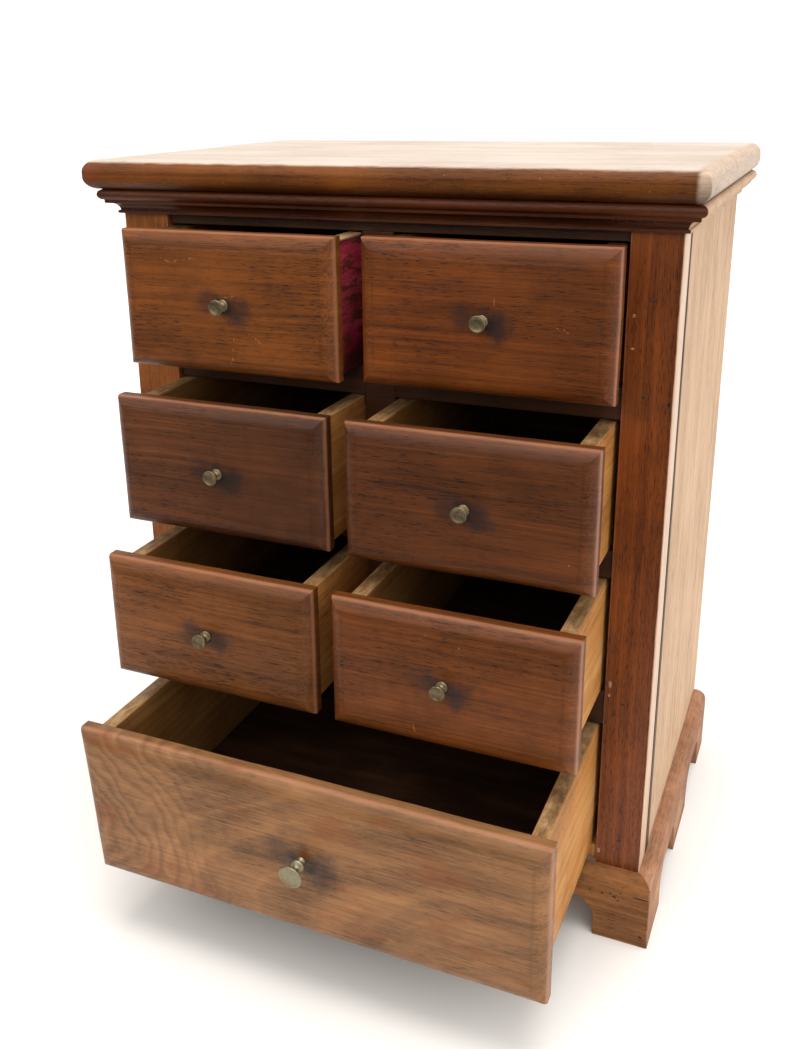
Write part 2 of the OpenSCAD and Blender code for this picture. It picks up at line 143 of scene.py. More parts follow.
def glow(nt):
    """How brightly the surroundings shine from each direction: the sum of one term a side."""
    facing = new_node(nt, "ShaderNodeSeparateXYZ")
    nt.links.new(new_node(nt, "ShaderNodeTexCoord").outputs["Generated"], facing.inputs[0])
    total = None
    for axis, amount in ((2, GLOW_UP), (1, GLOW_BACK), (0, GLOW_RIGHT), (0, -GLOW_LEFT)):
        part = new_node(nt, "ShaderNodeMath", operation="MULTIPLY")
        nt.links.new(facing.outputs[axis], part.inputs[0])
        part.inputs[1].default_value = amount
        lit = new_node(nt, "ShaderNodeMath", operation="MAXIMUM")
        nt.links.new(part.outputs[0], lit.inputs[0])
        lit.inputs[1].default_value = 0.0
        add = new_node(nt, "ShaderNodeMath", operation="ADD")
        nt.links.new(lit.outputs[0], add.inputs[0])
        if total is None:
            add.inputs[1].default_value = GLOW_ALL
        else:
            nt.links.new(total, add.inputs[1])
        total = add.outputs[0]
    return total


def studio():
    """Plain soft light: a glow from the surroundings, a white backdrop and three broad lights."""
    SCENE.view_settings.view_transform = "Standard"
    world = bpy.data.worlds.new("studio")
    SCENE.world = world
    world.use_nodes = True
    nt = world.node_tree
    nt.nodes.clear()
    light, seen = new_node(nt, "ShaderNodeBackground"), new_node(nt, "ShaderNodeBackground")
    light.inputs[0].default_value = (*GLOW_COLOUR, 1)
    nt.links.new(glow(nt), light.inputs[1])
    seen.inputs[0].default_value = (*PAPER_WHITE, 1)
    mix = new_node(nt, "ShaderNodeMixShader")
    nt.links.new(new_node(nt, "ShaderNodeLightPath").outputs["Is Camera Ray"], mix.inputs[0])
    nt.links.new(light.outputs[0], mix.inputs[1])
    nt.links.new(seen.outputs[0], mix.inputs[2])
    nt.links.new(mix.outputs[0], new_node(nt, "ShaderNodeOutputWorld").inputs[0])
    for light_settings in SUNS:
        sun(*light_settings)


FLOOR_X, FLOOR_FRONT, FLOOR_BACK = 6.0, -0.42, 8.0
FLOOR_COLOUR, FLOOR_ROUGHNESS, FLOOR_SPECULAR = (0.77, 0.75, 0.725), 0.85, 0.1


def floor():
    """The pale sheet that the chest stands on."""
    bm = bmesh.new()
    corners = ((-FLOOR_X, FLOOR_FRONT), (FLOOR_X, FLOOR_FRONT), (FLOOR_X, FLOOR_BACK),
               (-FLOOR_X, FLOOR_BACK))
    bm.faces.new([bm.verts.new((x, y, 0.0)) for x, y in corners])
    mesh = bpy.data.meshes.new("floor")
    bm.to_mesh(mesh)
    bm.free()
    obj = bpy.data.objects.new("floor", mesh)
    SCENE.collection.objects.link(obj)
    mat = bpy.data.materials.new("floor_paper")
    mat.use_nodes = True
    shader = mat.node_tree.nodes["Principled BSDF"]
    shader.inputs["Base Color"].default_value = (*FLOOR_COLOUR, 1)
    shader.inputs["Roughness"].default_value = FLOOR_ROUGHNESS
    shader.inputs["Specular IOR Level"].default_value = FLOOR_SPECULAR
    mesh.materials.append(mat)


# ---------------------------------------------------------------- node helpers


class Tree:
    """A material's nodes, with short calls that make one node each and return its output."""

    def __init__(self, name):
        self.material = bpy.data.materials.new(name)
        self.material.use_nodes = True
        self.nt = self.material.node_tree
        self.shader = self.nt.nodes["Principled BSDF"]
        self._cache = {}

    def node(self, kind, **settings):
        return new_node(self.nt, kind, **settings)

    def put(self, socket, value):
        """Links value to the socket where it is an output, and sets it there where it is a number."""
        if isinstance(value, bpy.types.NodeSocket):
            self.nt.links.new(value, socket)
        else:
            socket.default_value = value

    def math(self, op, a, b=None, c=None, clamp=False):
        n = self.node("ShaderNodeMath", operation=op, use_clamp=clamp)
        for socket, value in zip(n.inputs, (a, b, c)):
            if value is not None:
                self.put(socket, value)
        return n.outputs[0]

    def times(self, a, b):
        return self.math("MULTIPLY", a, b)

    def plus(self, a, b):
        return self.math("ADD", a, b)

    def minus(self, a, b):
        return self.math("SUBTRACT", a, b)

    def vec(self, op, a, b=None):
        n = self.node("ShaderNodeVectorMath", operation=op)
        self.put(n.inputs[0], a)
        if b is not None:
            self.put(n.inputs[1], b)
        return n.outputs["Value"] if op in ("LENGTH", "DISTANCE", "DOT_PRODUCT") else n.outputs[0]

    def split(self, vector):
        n = self.node("ShaderNodeSeparateXYZ")
        self.put(n.inputs[0], vector)
        return n.outputs

    def join(self, x, y, z):
        n = self.node("ShaderNodeCombineXYZ")
        for socket, value in zip(n.inputs, (x, y, z)):
            self.put(socket, value)
        return n.outputs[0]

    def noise(self, vector, size, detail=2.0, rough=0.5, distort=0.0):
        """Noise about 0.5; size is the number of features per unit along each axis of vector."""
        n = self.node("ShaderNodeTexNoise")
        self.put(n.inputs["Vector"], self.vec("MULTIPLY", vector, size))
        n.inputs["Scale"].default_value = 1.0
        n.inputs["Detail"].default_value = detail
        n.inputs["Roughness"].default_value = rough
        n.inputs["Distortion"].default_value = distort
        return n.outputs[0]

    def band_noise(self, w, detail=2.0, rough=0.55):
        """Noise along one number, for growth bands."""
        n = self.node("ShaderNodeTexNoise", noise_dimensions="1D")
        self.put(n.inputs["W"], w)
        n.inputs["Scale"].default_value = 1.0
        n.inputs["Detail"].default_value = detail
        n.inputs["Roughness"].default_value = rough
        return n.outputs[0]

    def smooth(self, value, low, high):
        """0 below low, 1 above high, smooth between; low may be the larger."""
        n = self.node("ShaderNodeMapRange", interpolation_type="SMOOTHSTEP")
        self.put(n.inputs["Value"], value)
        n.inputs["From Min"].default_value = min(low, high)
        n.inputs["From Max"].default_value = max(low, high)
        n.inputs["To Min"].default_value = 0.0 if low < high else 1.0
        n.inputs["To Max"].default_value = 1.0 if low < high else 0.0
        return n.outputs[0]

    def ramp(self, value, stops):
        """Colour of value, through stops of (place, colour)."""
        n = self.node("ShaderNodeValToRGB")
        self.put(n.inputs[0], value)
        ramp = n.color_ramp
        while len(ramp.elements) < len(stops):
            ramp.elements.new(0.5)
        for element, (place, colour) in zip(ramp.elements, stops):
            element.position = place
            element.color = (*colour, 1.0)
        return n.outputs[0]

    def mix(self, amount, a, b):
        n = self.node("ShaderNodeMix", data_type="RGBA")
        self.put(n.inputs[0], amount)
        for socket, value in ((n.inputs[6], a), (n.inputs[7], b)):
            self.put(socket, (*value, 1.0) if isinstance(value, tuple) else value)
        return n.outputs[2]

    def roughen(self, height, strength, depth):
        """Bump from height, depth metres deep."""
        bump = self.node("ShaderNodeBump")
        bump.inputs["Strength"].default_value = strength
        bump.inputs["Distance"].default_value = depth
        self.put(bump.inputs["Height"], height)
        self.put(self.shader.inputs["Normal"], bump.outputs[0])

    def attribute(self, name):
        return self.node("ShaderNodeAttribute", attribute_name=name).outputs["Vector"]

    def place(self):
        """Place in the row frame, in millimetres."""
        if "place" not in self._cache:
            coords = self.node("ShaderNodeTexCoord").outputs["Object"]
            self._cache["place"] = self.vec("MULTIPLY", coords, (PER_METRE,) * 3)
        return self._cache["place"]

    def from_faces(self):
        """Distances in millimetres to the nearer of each pair of the board's faces."""
        if "faces" not in self._cache:
            near, far = (self.vec("MULTIPLY", self.attribute(name), (PER_METRE,) * 3)
                         for name in ("near", "far"))
            self._cache["faces"] = self.split(self.vec("MINIMUM", near, far))
        return self._cache["faces"]

    def from_face(self, side, axis):
        """Distance in millimetres from the board's low ("near") or high ("far") face on one axis."""
        return self.times(self.split(self.attribute(side))[axis], PER_METRE)

    def from_edge(self):
        """Distance in millimetres from the nearest edge of the board."""
        if "edge" not in self._cache:
            x, y, z = self.from_faces()
            total = self.plus(self.plus(x, y), z)
            most = self.math("MAXIMUM", self.math("MAXIMUM", x, y), z)
            self._cache["edge"] = self.minus(total, most)
        return self._cache["edge"]


def srgb(r, g, b):
    """Linear colour of 8-bit display values."""
    return tuple((c / 255 / 12.92) if c <= 10 else ((c / 255 + 0.055) / 1.055) ** 2.4 for c in (r, g, b))


def dimmed(colour, share):
    return tuple(c * share for c in colour)


DARKER, LIGHTER = 0.52, 0.5  # how far the grain goes below and above a wood's middle tone


def shades(r, g, b, spread=1.0):
    """Dark, middle and light tones of one wood, round a middle one given in display values."""
    middle = srgb(r, g, b)
    return dimmed(middle, 1 - DARKER * spread), middle, dimmed(middle, 1 + LIGHTER * spread)


def box_mm(node):
    """Lowest and highest corners of a node, in millimetres."""
    low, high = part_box(node)
    return low / MM, high / MM


AXES = {"X": (0, 1, 2), "Y": (1, 0, 2), "Z": (2, 0, 1)}  # along, across and up for each grain direction


class Wood(Tree):
    """Wood with growth bands, fibre streaks and open pores, and finish on top of it."""

    def __init__(self, name, grain, dark, middle, light, seed=0.0, pith=(60.0, 35.0), tilt=(0.0, 0.0),
                 bands=0.25, warp=9.0, band_share=0.22, streak_share=0.28, pore_depth=0.6, contour=0.12,
                 contour_step=4.0, pore_size=(0.16, 2.4), rough=0.42, coat=0.25, clouds=0.45):
        super().__init__(name)
        parts = self.split(self.place())
        local = self.join(*(parts[i] for i in AXES[grain]))
        grained = self.vec("ADD", local, (seed * 131.7, seed * 57.3, seed * 91.1))
        radius = self.from_pith(local, grained, pith, tilt, warp)
        band = self.band_noise(self.times(radius, bands), detail=3.0, rough=0.6)
        self.streak = self.noise(grained, (0.012, 0.8, 0.8), detail=5.0, rough=0.65)
        self.mottle = self.noise(grained, (0.012, 0.03, 0.03), detail=3.0, rough=0.6)
        self.pores = self.open_pores(grained, band, pore_size)
        tone = self.plus(self.times(band, band_share), self.times(self.streak, streak_share))
        tone = self.plus(tone, self.times(self.mottle, 1.0 - band_share - streak_share))
        self.colour = self.ramp(tone, ((0.35, dark), (0.50, middle), (0.65, light)))
        ring = self.math("FRACT", self.math("DIVIDE", radius, contour_step))
        line = self.times(self.smooth(ring, 0.35, 0.0), self.smooth(self.mottle, 0.35, 0.6))
        self.tint(self.times(line, contour), dark)
        cloud = self.noise(grained, (0.02, 0.035, 0.035), detail=4.0, rough=0.65)
        self.tint(self.times(self.smooth(cloud, 0.48, 0.68), clouds), dimmed(middle, 0.55))
        self.tint(self.times(self.pores, pore_depth), dimmed(dark, 0.25))
        self.rough = self.plus(rough - 0.06, self.times(self.mottle, 0.12))
        self.rough = self.plus(self.rough, self.times(self.pores, 0.25))
        self.height = self.minus(self.times(self.streak, 0.6), self.pores)
        self.shader.inputs["Coat Weight"].default_value = coat
        self.shader.inputs["Coat Roughness"].default_value = 0.22
        self.shader.inputs["Specular IOR Level"].default_value = 0.2

    def from_pith(self, local, grained, pith, tilt, warp):
        """Distance from the tree's middle, which swings by warp and tilts along the grain."""
        swing = self.vec("SUBTRACT", self.colour_noise(grained, (0.007, 0.022, 0.022)), (0.5,) * 3)
        swung = self.vec("ADD", local, self.vec("MULTIPLY", swing, (0.0, warp * 2, warp * 2)))
        along, across, up = self.split(swung)
        off = (self.plus(self.plus(part, start), self.times(along, slope))
               for part, start, slope in zip((across, up), pith, tilt))
        return self.vec("LENGTH", self.join(*off, 0.0))

    def open_pores(self, grained, band, size):
        """Short dark flecks along the grain, more of them in the denser bands and the paler patches."""
        along, across = size
        fleck = self.noise(grained, (along, across, across), detail=2.0, rough=0.6)
        many = self.times(self.minus(band, 0.5), 0.10)
        patch = self.smooth(self.mottle, 0.62, 0.40)
        return self.times(self.smooth(self.minus(fleck, many), 0.56, 0.63),
                          self.plus(0.35, self.times(patch, 0.65)))

    def colour_noise(self, vector, size):
        """Three noises at once, for moving a point about."""
        n = self.node("ShaderNodeTexNoise")
        self.put(n.inputs["Vector"], self.vec("MULTIPLY", vector, size))
        n.inputs["Scale"].default_value = 1.0
        n.inputs["Detail"].default_value = 2.0
        return n.outputs[1]

    def tint(self, mask, colour):
        """Lays colour over what is there, by mask."""
        self.colour = self.mix(mask, self.colour, colour)
        return self

    def worn_edges(self, colour, width=1.2, amount=0.8, patch=0.05):
        """Finish rubbed off along the edges, more in some places than others."""
        patchy = self.noise(self.place(), (patch,) * 3, detail=4.0, rough=0.7)
        reach = self.times(self.minus(patchy, 0.25), 3.2 * width)
        mask = self.smooth(self.minus(self.from_edge(), reach), 0.4, -0.4)
        mask = self.times(mask, amount)
        self.tint(mask, colour)
        self.rough = self.plus(self.rough, self.times(mask, 0.15))
        return self

    def smudge(self, centre, radius, colour, amount=0.7):
        """A soft dark stain round a point given in millimetres."""
        away = self.vec("DISTANCE", self.place(), tuple(centre))
        patchy = self.noise(self.place(), (0.12,) * 3, detail=4.0, rough=0.65)
        away = self.plus(away, self.times(self.minus(patchy, 0.5), 1.2 * radius))
        mask = self.times(self.smooth(away, radius, radius * 0.15), amount)
        return self.tint(mask, colour)

    def scratch(self, start, end, width, colour, amount=0.7):
        """A thin unsteady scratch between two points in millimetres."""
        a, b = Vector(start), Vector(end)
        line = b - a
        shake = self.vec("SUBTRACT", self.colour_noise(self.place(), (0.3,) * 3), (0.5,) * 3)
        shaken = self.vec("ADD", self.place(), self.vec("MULTIPLY", shake, (2.6,) * 3))
        rel = self.vec("SUBTRACT", shaken, tuple(a))
        t = self.math("DIVIDE", self.vec("DOT_PRODUCT", rel, tuple(line)), line.length_squared, clamp=True)
        on = self.vec("MULTIPLY", self.join(t, t, t), tuple(line))
        away = self.vec("DISTANCE", rel, on)
        broken = self.noise(self.place(), (0.5,) * 3, detail=3.0)
        mask = self.smooth(away, width * 0.8, width * 0.1)
        mask = self.times(mask, self.smooth(broken, 0.42, 0.60))
        mask = self.times(mask, amount)
        return self.tint(mask, colour)

    def done(self):
        """Joins what was gathered to the shader."""
        self.roughen(self.height, strength=0.55, depth=0.12 * MM)
        self.put(self.shader.inputs["Base Color"], self.colour)
        self.put(self.shader.inputs["Roughness"], self.rough)
        return self.material


# ---------------------------------------------------------------- mesh helpers


def islands(bm):
    """The separate solids of a mesh, each a list of vertices."""
    left, found = set(bm.verts), []
    while left:
        first = left.pop()
        group, queue = [first], [first]
        while queue:
            for edge in queue.pop().link_edges:
                for v in edge.verts:
                    if v in left:
                        left.discard(v)
                        group.append(v)
                        queue.append(v)
        found.append(group)
    return found


def add_distances(bm, inner_low=False):
    """Stores each vertex's distances from the low (near) and high (far) faces of its board.

    Drawer sides keep far.x for their inner face, so inner_low swaps the two x distances."""
    near = bm.verts.layers.float_vector.new("near")
    far = bm.verts.layers.float_vector.new("far")
    for group in islands(bm):
        low = Vector([min(v.co[k] for v in group) for k in range(3)])
        high = Vector([max(v.co[k] for v in group) for k in range(3)])
        for v in group:
            to_low, to_high = v.co - low, high - v.co
            if inner_low:
                to_low.x, to_high.x = to_high.x, to_low.x
            v[near], v[far] = to_low, to_high


def slice_up(bm, step):
    """Cuts the mesh into cells so that it can be bent a little."""
    low = [min(v.co[k] for v in bm.verts) for k in range(3)]
    high = [max(v.co[k] for v in bm.verts) for k in range(3)]
    for k in range(3):
        count = int((high[k] - low[k]) / step)
        normal = Vector([1.0 if i == k else 0.0 for i in range(3)])
        for n in range(1, count):
            at = low[k] + (high[k] - low[k]) * n / count
            geom = bm.verts[:] + bm.edges[:] + bm.faces[:]
            bmesh.ops.bisect_plane(bm, geom=geom, plane_co=normal * at, plane_no=normal)


def unsteady(bm, slow_by, quick_by, shift, slow_size, quick_size):
    """Moves the surface about a little, as hand work leaves it, in long waves and short ones."""
    for v in bm.verts:
        slow = noise.noise_vector(v.co * slow_size + shift)
        quick = noise.noise_vector(v.co * quick_size + shift)
        v.co += slow * slow_by + quick * quick_by


def to_object(bm, name, material, sharp=35):
    """The finished mesh as an object, smooth except where it turns by more than sharp degrees."""
    mesh = bpy.data.meshes.new(name)
    bm.normal_update()
    bm.to_mesh(mesh)
    bm.free()
    mesh.materials.append(material)
    mesh.shade_smooth()
    mesh.set_sharp_from_angle(angle=math.radians(sharp))
    obj = bpy.data.objects.new(name, mesh)
    SCENE.collection.objects.link(obj)
    return obj


def stand_for(obj, node):
    """Puts the piece in the node's place: on its body, with the node hidden."""
    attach(obj, body_of(frame["nodes"][node])[0])
    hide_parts(node)
    return obj


CELL = 14.0 * MM  # size of the cells that a board is bent in


def softened(node, material, round_mm=0.5, wobble_mm=0.12, seed=1.0, inner_low=False):
    """The CAD board with eased edges and a slightly uneven surface, as a new piece."""
    bm = bmesh.new()
    bm.from_mesh(frame["nodes"][node].data)
    bmesh.ops.remove_doubles(bm, verts=bm.verts[:], dist=1e-6)
    bmesh.ops.dissolve_limit(bm, angle_limit=math.radians(0.5), verts=bm.verts[:], edges=bm.edges[:])
    corners = [e for e in bm.edges if len(e.link_faces) == 2 and e.calc_face_angle(0.0) > math.radians(25)]
    bmesh.ops.bevel(bm, geom=corners, offset=round_mm * MM, segments=3, profile=0.5, affect="EDGES",
                    clamp_overlap=True)
    slice_up(bm, CELL)
    add_distances(bm, inner_low)
    wobble = wobble_mm * MM
    unsteady(bm, 0.7 * wobble, 0.3 * wobble, seed * Vector((3.1, 1.7, 2.3)), 14.0, 70.0)
    obj = to_object(bm, node + "_piece", material)
    weigh = obj.modifiers.new("normals", "WEIGHTED_NORMAL")
    weigh.keep_sharp = True
    return stand_for(obj, node)


# ---------------------------------------------------------------- drawer fronts

MOULDING_WIDTH, MOULDING_RISE = 7.5 * MM, 4.4 * MM
FRONT_EDGE, FIELD_STEP = 7.0 * MM, 0.6 * MM
WORN_STEP = 0.28 * MM  # what rubbing has left of the step up to the field
EASE = 0.5 * MM  # rounding of the back and outer corners
MOULDING_STEPS = 9
FRONT_CELL = 5.0 * MM


def front_profile():
    """(inset from the outer edge, depth from the back) of the front's section, back to field."""
    full = FRONT_EDGE + MOULDING_RISE + FIELD_STEP
    top = full - WORN_STEP
    rise = top - FRONT_EDGE
    radius = (MOULDING_WIDTH ** 2 + rise ** 2) / (2 * rise)
    points = [(EASE, 0.0), (0.0, EASE), (0.0, FRONT_EDGE * 0.5), (0.0, FRONT_EDGE - EASE)]
    for i in range(1, MOULDING_STEPS + 1):
        x = MOULDING_WIDTH * i / MOULDING_STEPS
        points.append((x, top - radius + math.sqrt(radius ** 2 - (MOULDING_WIDTH - x) ** 2)))
    points += [(MOULDING_WIDTH + 0.7 * MM, top + WORN_STEP * 0.3),
               (MOULDING_WIDTH + 1.3 * MM, top + WORN_STEP * 0.85), (MOULDING_WIDTH + 2.0 * MM, full)]
    return points


def drawer_front(number, material, seed, short=0.0):
    """A moulded front: its section carried round the four sides, with the small waves of hand work.

    short is how far the lower left corner falls short, where the end isn't cut square."""
    node = f"drawer_{number}_front"
    low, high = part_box(node)
    cells_x, cells_z = (int((high[k] - low[k]) / FRONT_CELL) for k in (0, 2))
    bm = bmesh.new()

    def loop(inset, depth):
        corners = [(low.x + inset + short, low.z + inset), (high.x - inset, low.z + inset),
                   (high.x - inset, high.z - inset), (low.x + inset, high.z - inset)]
        ring = []
        for i in range(4):
            (x0, z0), (x1, z1) = corners[i], corners[(i + 1) % 4]
            count = cells_x if i % 2 == 0 else cells_z
            for k in range(count):
                t = k / count
                ring.append(bm.verts.new((x0 + (x1 - x0) * t, high.y - depth, z0 + (z1 - z0) * t)))
        return ring

    rings = [loop(*point) for point in front_profile()]
    for a, b in zip(rings, rings[1:]):
        for i in range(len(a)):
            j = (i + 1) % len(a)
            bm.faces.new((a[i], a[j], b[j], b[i]))
    bm.faces.new(rings[0])
    bm.faces.new(list(reversed(rings[-1])))
    bmesh.ops.recalc_face_normals(bm, faces=bm.faces[:])
    add_distances(bm)
    unsteady(bm, 0.22 * MM, 0.08 * MM, seed * Vector((5.3, 2.9, 4.1)), 22.0, 120.0)
    obj = to_object(bm, node + "_piece", material, sharp=28)
    return stand_for(obj, node)


# ---------------------------------------------------------------- knobs

# (distance out from the front, radius), as shares of the knob's length and radius
KNOB_SECTION = [(0.0, 0.0), (0.0, 0.74), (0.03, 0.76), (0.07, 0.74), (0.10, 0.66), (0.13, 0.55),
                (0.16, 0.42), (0.22, 0.32), (0.32, 0.29), (0.40, 0.31), (0.44, 0.38), (0.48, 0.43),
                (0.52, 0.43), (0.56, 0.38), (0.60, 0.32), (0.66, 0.36), (0.72, 0.50), (0.78, 0.72),
                (0.83, 0.90), (0.87, 0.97), (0.90, 1.0), (0.94, 1.0), (0.97, 0.97), (0.99, 0.91),
                (0.99, 0.86), (0.965, 0.78), (0.94, 0.62), (0.925, 0.42), (0.915, 0.2), (0.91, 0.0)]

# The wide drawer's knob: a thin stem, a bead on it and a thin dished head
LARGE_KNOB_SECTION = [(0.0, 0.0), (0.0, 0.34), (0.03, 0.36), (0.07, 0.34), (0.11, 0.26), (0.17, 0.24),
                      (0.21, 0.34), (0.25, 0.48), (0.29, 0.55), (0.33, 0.57), (0.37, 0.55), (0.41, 0.47),
                      (0.45, 0.34), (0.50, 0.27), (0.60, 0.26), (0.70, 0.32), (0.78, 0.50), (0.85, 0.77),
                      (0.90, 0.94), (0.93, 1.0), (0.96, 1.0), (0.985, 0.97), (0.99, 0.92), (0.975, 0.87),
                      (0.955, 0.7), (0.94, 0.45), (0.93, 0.2), (0.93, 0.0)]
KNOB_FACETS = 48
KNOB_SAG = 5.0  # degrees that the wide drawer's knob droops


def knob_seat(number):
    """Where a knob meets its front, on the axis of its shank."""
    node = f"drawer_{number}_knob"
    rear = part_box(node)[1].y - 0.1 * MM
    ends = [v.co for v in frame["nodes"][node].data.vertices if v.co.y > rear]
    x, z = ((min(e[k] for e in ends) + max(e[k] for e in ends)) / 2 for k in (0, 2))
    return Vector((x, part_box(f"drawer_{number}_front")[0].y, z))


def knob(number, material, section, sag):
    """The section turned round the shank's axis, drooping by sag degrees."""
    node = f"drawer_{number}_knob"
    low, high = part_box(node)
    centre = knob_seat(number)
    radius, length = (high.x - low.x) / 2, centre.y - low.y
    bm = bmesh.new()
    tilt = Matrix.Rotation(math.radians(sag), 4, "X")
    rings = []
    for out, r in section:
        ring = []
        for i in range(KNOB_FACETS if r else 1):
            a = math.tau * i / KNOB_FACETS
            p = Vector((radius * r * math.cos(a), -length * out, radius * r * math.sin(a)))
            p += noise.noise_vector(p * 260.0 + Vector((number, 0, 0))) * 0.05 * MM
            ring.append(bm.verts.new(centre + tilt @ p))
        rings.append(ring)
    for a, b in zip(rings, rings[1:]):
        for i in range(KNOB_FACETS):
            j = (i + 1) % KNOB_FACETS
            corners = [a[i % len(a)], a[j % len(a)], b[j % len(b)], b[i % len(b)]]
            bm.faces.new(list(dict.fromkeys(corners)))
    bmesh.ops.recalc_face_normals(bm, faces=bm.faces[:])
    add_distances(bm)
    obj = to_object(bm, node + "_piece", material, sharp=60)
    return stand_for(obj, node)


def aged_brass(name, body, rim, dirt, seed):
    """Tarnished brass, browner in patches, with dirt in its small pits."""
    m = Tree(name)
    place = m.vec("ADD", m.place(), (seed, seed * 2, seed * 3))
    tarnish = m.noise(place, (0.5,) * 3, detail=4.0, rough=0.65)
    fine = m.noise(place, (2.6,) * 3, detail=3.0, rough=0.6)
    colour = m.mix(m.smooth(tarnish, 0.38, 0.62), body, rim)
    colour = m.mix(m.times(m.smooth(fine, 0.52, 0.7), 0.7), colour, dirt)
    m.put(m.shader.inputs["Base Color"], colour)
    m.shader.inputs["Metallic"].default_value = 0.85
    rough = m.plus(0.30, m.times(fine, 0.22))
    m.put(m.shader.inputs["Roughness"], rough)
    m.roughen(fine, strength=0.4, depth=0.08 * MM)
    return m.material


# ---------------------------------------------------------------- woods

GREY_STAIN = srgb(30, 28, 30)
# dirt and painted shade of the open joints
CRACK_DIRT_AND_SHADE = srgb(22, 14, 9)
# Millimetres of the open joint and of the dirt and painted shade behind it, and how much wider the painted
# crack gets for each one down
JOINT_WIDTH, JOINT_SPREAD = 3.6, 0.013
FIELD_INSET = 7.7  # millimetres from the outer edge to the darkened corner beside the field
CORNER_DEPTH = 5.0  # millimetres from the field back to the corner of the moulding
# Stains round a knob: millimetres right of and above it, reach and strength
KNOB_STAINS = ((0.0, 0.0, 9.0, 0.8), (8.0, -3.0, 12.0, 0.75), (-9.0, 1.0, 11.0, 0.55))
WIDE_STAINS = 1.4  # how much larger they are on the wide front


def moulding_wear_and_shade(m, palette):
    """A darker line beside the field, painted shade on the upper slope and a rubbed outer corner."""
    x, _, z = m.from_faces()
    inset = m.math("MINIMUM", x, z)
    patchy = m.noise(m.place(), (0.05, 0.2, 0.05), detail=4.0, rough=0.7)
    # a darker line in the corner beside the field
    line = m.smooth(m.math("ABSOLUTE", m.minus(inset, FIELD_INSET)), 1.4, 0.2)
    m.tint(m.times(line, m.times(patchy, 0.3)), dimmed(palette[0], 0.5))
    # painted shade: darkens the upper slope of the moulding
    upper = m.smooth(m.plus(m.from_face("far", 2), m.times(patchy, 1.5)), 8.6, 6.6)
    m.tint(m.times(upper, 0.3), dimmed(palette[1], 0.42))
    corner = m.smooth(m.math("ABSOLUTE", m.minus(m.from_face("near", 1), CORNER_DEPTH)), 2.4, 0.2)
    edge = m.minus(inset, m.times(patchy, 3.0))
    m.tint(m.times(m.times(m.smooth(edge, 0.6, -1.4), corner), 0.42), srgb(184, 128, 98))


def front_wood(number, tone, scratches=(), painted_shade_right=0.0, **how):
    """Varnished front with stains at the knob, a worn moulding with painted shade on its upper slope, and
    painted shade growing towards the right by painted_shade_right.
    """
    palette = shades(*tone, spread=1.15)
    how = {"pore_depth": 0.85, "streak_share": 0.38} | how
    m = Wood(f"front_{number}", "X", *palette, seed=number, pore_size=(0.14, 2.1), coat=0.1, **how)
    seat = knob_seat(number) / MM
    size = WIDE_STAINS if number == WIDE else 1.0
    for east, up, reach, amount in KNOB_STAINS:
        m.smudge(seat + Vector((east, 0, up)) * size, reach * size, GREY_STAIN, amount)
    if painted_shade_right:
        low, high = box_mm(f"drawer_{number}_front")
        # painted shade growing towards the right end of the front
        clouded = m.plus(m.split(m.place())[0], m.times(m.mottle, 40.0))
        m.tint(m.times(m.smooth(clouded, low.x + 20, high.x + 20), painted_shade_right), dimmed(palette[0], 0.2))
    moulding_wear_and_shade(m, palette)
    for east, up, east_end, up_end, width in scratches:
        start, end = (seat + Vector((dx, 0, dz)) for dx, dz in ((east, up), (east_end, up_end)))
        m.scratch(start, end, width, srgb(198, 136, 82), 0.6)
    return m


# Scratches on the fronts: both ends as millimetres right of and above the knob, then the width
SCRATCHES = {
    1: ((5.0, -24.0, 3.0, -34.0, 0.9), (6.0, -16.0, 5.6, -22.0, 0.7), (13.0, -13.0, 24.0, -20.0, 0.5),
        (-8.0, 3.0, 8.0, 5.5, 0.4), (-38.0, 24.0, -30.0, 21.5, 0.6), (-29.0, 22.0, -16.0, 24.5, 0.5)),
    2: ((38.0, -1.0, 44.0, -2.6, 0.6), (6.0, 8.0, 6.4, 13.0, 0.5)),
    4: ((28.0, -32.0, 29.0, -33.0, 0.7), (54.0, -22.0, 54.6, -20.0, 0.6)),
    6: ((-16.0, -26.0, -12.0, -36.0, 0.5), (-12.0, 24.0, -8.0, 28.0, 0.4), (9.0, 24.0, 10.5, 21.0, 0.5)),
}


FRONT_TONES = {1: (117, 64, 22), 2: (114, 58, 18), 3: (93, 52, 26), 4: (89, 47, 19), 5: (117, 68, 29),
               6: (104, 55, 19)}
# Painted shade: how strongly each front darkens towards its right end
FRONT_PAINTED_SHADE = {2: 0.25, 3: 0.4, 5: 0.3}
WIDE_TONE = (133, 92, 57)
# The rust above the wide drawer's knob: place from the knob, reach, colour and strength
RUST = (Vector((0.8, 0.0, 4.0)), 6.0, srgb(104, 58, 26), 0.8)


def fronts():
    """The woods of the seven fronts, by drawer number."""
    made = {}
    for n, tone in FRONT_TONES.items():
        pith = (130 + 12 * n, 20 + 4 * n)
        made[n] = front_wood(n, tone, SCRATCHES.get(n, ()), FRONT_PAINTED_SHADE.get(n, 0.0), pith=pith).done()
    wide = front_wood(WIDE, WIDE_TONE, pith=(52, -38), tilt=(0.42, 0.20), bands=0.13, warp=13.0,
                      pore_depth=0.45, band_share=0.2, streak_share=0.36, contour=0.12, contour_step=7.0)
    wild_end(wide)
    offset, reach, colour, amount = RUST
    wide.smudge(knob_seat(WIDE) / MM + offset, reach, colour, amount)
    made[WIDE] = wide.done()
    return made


WILD_STEP = 8.2  # millimetres between the nested lines
WILD_FULL, WILD_GONE = 75, 135  # millimetres in from the left end that they are full and gone


